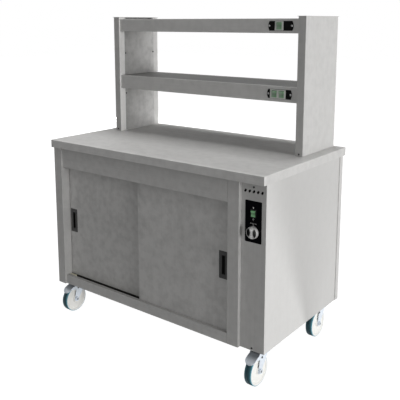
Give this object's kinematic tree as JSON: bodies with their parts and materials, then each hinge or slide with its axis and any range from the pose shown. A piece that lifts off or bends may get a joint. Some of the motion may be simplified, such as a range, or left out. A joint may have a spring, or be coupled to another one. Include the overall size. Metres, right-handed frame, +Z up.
{
  "type": "mobile hot cupboard with heat lamp gantry",
  "caption": "Stainless hot cupboard on braked castors with sliding doors, side controls and a two-tier heated gantry over the rear of its worktop.",
  "frame": {"origin": "on the floor under the centre of the whole object's bounding box", "axes": "+X along the front to the right as seen from the front, +Y from the front to the back, +Z up"},
  "size_m": [1.2, 0.6946, 1.453],
  "materials": {
    "stainless": "satin",
    "stainless_inside": "satin",
    "fastener": "satin",
    "element": "satin",
    "black_plate": "satin",
    "black_plastic": "matte",
    "pale_plastic": "satin",
    "green_lens": "gloss",
    "knob_silver": "satin",
    "handle_grey": "satin",
    "nylon": "satin",
    "zinc": "satin",
    "wheel_cream": "satin",
    "tread": "satin",
    "quartz": "gloss",
    "ceramic": "matte",
    "reflector": "polished",
    "mineral_wool": "matte"
  },
  "bodies": {
    "cabinet": {"worktop": "stainless", "left_side_panel": "stainless", "right_side_panel": "stainless", "back_panel": "stainless", "left_front_post": "stainless", "door_post": "stainless", "door_header": "stainless", "sill": "stainless", "base_pan": "stainless", "control_fascia": "stainless", "left_upright": "stainless", "right_upright": "stainless", "upright_covers": "stainless", "upright_caps": "stainless", "upper_shelf": "stainless", "lower_shelf": "stainless", "cabinet_liner": "stainless_inside", "element_cover": "stainless_inside", "shelf_supports": "stainless_inside", "middle_shelf": "stainless_inside", "panel_screws": "fastener", "frame_bolts": "fastener", "heating_element": "element", "control_label_plate": "black_plate", "switch_plates": "black_plate", "thermostat": "black_plastic", "terminal_block": "black_plastic", "cable_gland": "black_plastic", "switch_bodies": "pale_plastic", "door_runners": "nylon", "castor_plates": "zinc", "quartz_lamps": "quartz", "lamp_holders": "ceramic", "lamp_reflectors": "reflector", "insulation_slabs": "mineral_wool"},
    "left_door": {"left_door_skin": "stainless", "left_door_inner_skin": "stainless_inside", "left_door_handle": "handle_grey"},
    "right_door": {"right_door_skin": "stainless", "right_door_inner_skin": "stainless_inside", "right_door_handle": "handle_grey"},
    "thermostat_knob": {"thermostat_knob": "knob_silver"},
    "main_rocker": {"main_rocker": "green_lens"},
    "upper_rocker": {"upper_rocker": "green_lens"},
    "lower_left_rocker": {"lower_left_rocker": "green_lens"},
    "lower_right_rocker": {"lower_right_rocker": "green_lens"},
    "swivel_front_left": {"castor_fork_front_left": "zinc"},
    "wheel_front_left": {"castor_wheel_front_left": "wheel_cream", "castor_tyre_front_left": "tread"},
    "brake_front_left": {"brake_pedal_front_left": "zinc"},
    "swivel_front_right": {"castor_fork_front_right": "zinc"},
    "wheel_front_right": {"castor_wheel_front_right": "wheel_cream", "castor_tyre_front_right": "tread"},
    "brake_front_right": {"brake_pedal_front_right": "zinc"},
    "swivel_rear_left": {"castor_fork_rear_left": "zinc"},
    "wheel_rear_left": {"castor_wheel_rear_left": "wheel_cream", "castor_tyre_rear_left": "tread"},
    "swivel_rear_right": {"castor_fork_rear_right": "zinc"},
    "wheel_rear_right": {"castor_wheel_rear_right": "wheel_cream", "castor_tyre_rear_right": "tread"}
  },
  "joints": [
    {"name": "left_door_slide", "type": "slide", "parent": "cabinet", "child": "left_door", "axis": [1, 0, 0], "range_m": [0, 0.434]},
    {"name": "right_door_slide", "type": "slide", "parent": "cabinet", "child": "right_door", "axis": [-1, 0, 0], "range_m": [0, 0.434]},
    {"name": "thermostat_turn", "type": "hinge", "parent": "cabinet", "child": "thermostat_knob", "pos_m": [0.53375, -0.30875, 0.6385], "axis": [0, 1, 0], "range_deg": [0, 270]},
    {"name": "main_rocker_flip", "type": "hinge", "parent": "cabinet", "child": "main_rocker", "pos_m": [0.53375, -0.30795, 0.7127], "axis": [1, 0, 0], "range_deg": [-18, 0]},
    {"name": "upper_rocker_flip", "type": "hinge", "parent": "cabinet", "child": "upper_rocker", "pos_m": [0.418, 0.05075, 1.4125], "axis": [1, 0, 0], "range_deg": [-18, 0]},
    {"name": "lower_left_rocker_flip", "type": "hinge", "parent": "cabinet", "child": "lower_left_rocker", "pos_m": [0.40025, 0.05075, 1.127], "axis": [1, 0, 0], "range_deg": [-18, 0]},
    {"name": "lower_right_rocker_flip", "type": "hinge", "parent": "cabinet", "child": "lower_right_rocker", "pos_m": [0.43575, 0.05075, 1.127], "axis": [1, 0, 0], "range_deg": [-18, 0]},
    {"name": "swivel_front_left", "type": "hinge", "parent": "cabinet", "child": "swivel_front_left", "pos_m": [-0.54, -0.24275, 0.134], "axis": [0, 0, 1], "continuous": true},
    {"name": "wheel_front_left_roll", "type": "hinge", "parent": "swivel_front_left", "child": "wheel_front_left", "pos_m": [-0.54, -0.28475, 0.0625], "axis": [1, 0, 0], "continuous": true},
    {"name": "brake_front_left_press", "type": "hinge", "parent": "swivel_front_left", "child": "brake_front_left", "pos_m": [-0.54, -0.27575, 0.1185], "axis": [1, 0, 0], "range_deg": [0, 6]},
    {"name": "swivel_front_right", "type": "hinge", "parent": "cabinet", "child": "swivel_front_right", "pos_m": [0.54, -0.24275, 0.134], "axis": [0, 0, 1], "continuous": true},
    {"name": "wheel_front_right_roll", "type": "hinge", "parent": "swivel_front_right", "child": "wheel_front_right", "pos_m": [0.54, -0.28475, 0.0625], "axis": [1, 0, 0], "continuous": true},
    {"name": "brake_front_right_press", "type": "hinge", "parent": "swivel_front_right", "child": "brake_front_right", "pos_m": [0.54, -0.27575, 0.1185], "axis": [1, 0, 0], "range_deg": [0, 6]},
    {"name": "swivel_rear_left", "type": "hinge", "parent": "cabinet", "child": "swivel_rear_left", "pos_m": [-0.54, 0.26125, 0.134], "axis": [0, 0, 1], "continuous": true},
    {"name": "wheel_rear_left_roll", "type": "hinge", "parent": "swivel_rear_left", "child": "wheel_rear_left", "pos_m": [-0.54, 0.21925, 0.0625], "axis": [1, 0, 0], "continuous": true},
    {"name": "swivel_rear_right", "type": "hinge", "parent": "cabinet", "child": "swivel_rear_right", "pos_m": [0.54, 0.26125, 0.134], "axis": [0, 0, 1], "continuous": true},
    {"name": "wheel_rear_right_roll", "type": "hinge", "parent": "swivel_rear_right", "child": "wheel_rear_right", "pos_m": [0.54, 0.21925, 0.0625], "axis": [1, 0, 0], "continuous": true}
  ]
}
